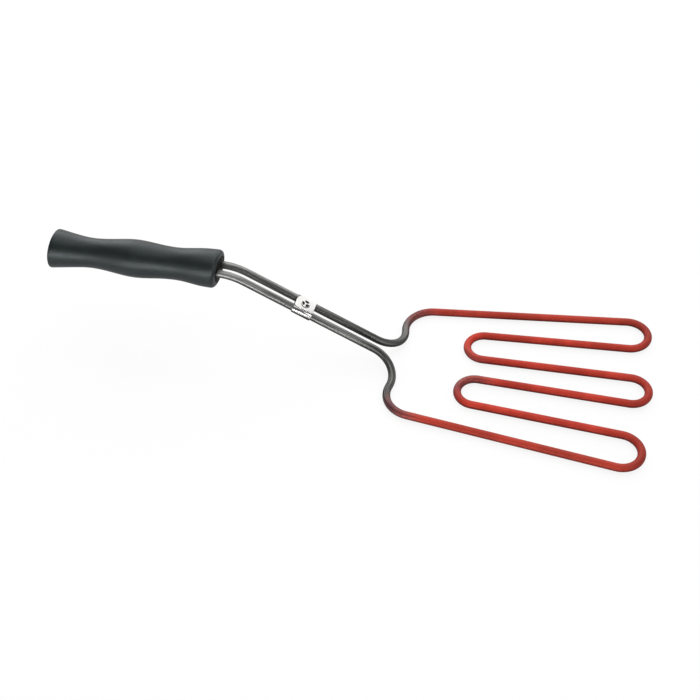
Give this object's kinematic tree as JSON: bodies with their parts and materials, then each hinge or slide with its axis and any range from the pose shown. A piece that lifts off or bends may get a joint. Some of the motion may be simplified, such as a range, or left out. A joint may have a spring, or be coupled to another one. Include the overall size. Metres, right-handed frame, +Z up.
{
  "type": "electric charcoal lighter",
  "caption": "Charcoal lighter with a sheathed heating element bent into a flat looped fan, a sloping two-leg shank held by a riveted clip, and a waisted round plastic handle.",
  "frame": {"origin": "centre of the bounding box's bottom face, on the surface that the fan lies on", "axes": "+X from the handle to the tip of the fan, +Z up, square to the plane of the fan"},
  "size_m": [0.5094, 0.1696, 0.0939],
  "materials": {
    "heater_steel": "satin",
    "magnesia": "matte",
    "resistance_wire": "satin",
    "pin_steel": "satin",
    "steatite": "matte",
    "phenolic": "satin",
    "flange_steel": "satin",
    "terminal_brass": "satin",
    "grip_plastic": "satin",
    "zinc_screw": "satin",
    "cap_plastic": "satin",
    "grommet_rubber": "matte",
    "clip_nickel": "polished"
  },
  "bodies": {
    "root": {"heater_sheath": "heater_steel", "magnesia_packing": "magnesia", "heating_coil": "resistance_wire", "cold_pin_left": "pin_steel", "cold_pin_right": "pin_steel", "end_bead_left": "steatite", "end_bead_right": "steatite", "front_plate": "phenolic", "mounting_flange": "flange_steel", "earth_tab": "terminal_brass", "grip_upper": "grip_plastic", "grip_lower": "grip_plastic", "grip_screws": "zinc_screw", "terminal_block": "steatite", "terminal_sleeves": "terminal_brass", "terminal_screws": "zinc_screw", "rear_cap": "cap_plastic", "cord_grommet": "grommet_rubber", "cord_clamp": "cap_plastic", "cord_clamp_screws": "zinc_screw", "clip_wrap": "clip_nickel", "clip_plate": "clip_nickel", "clip_rivet": "clip_nickel"}
  },
  "joints": []
}
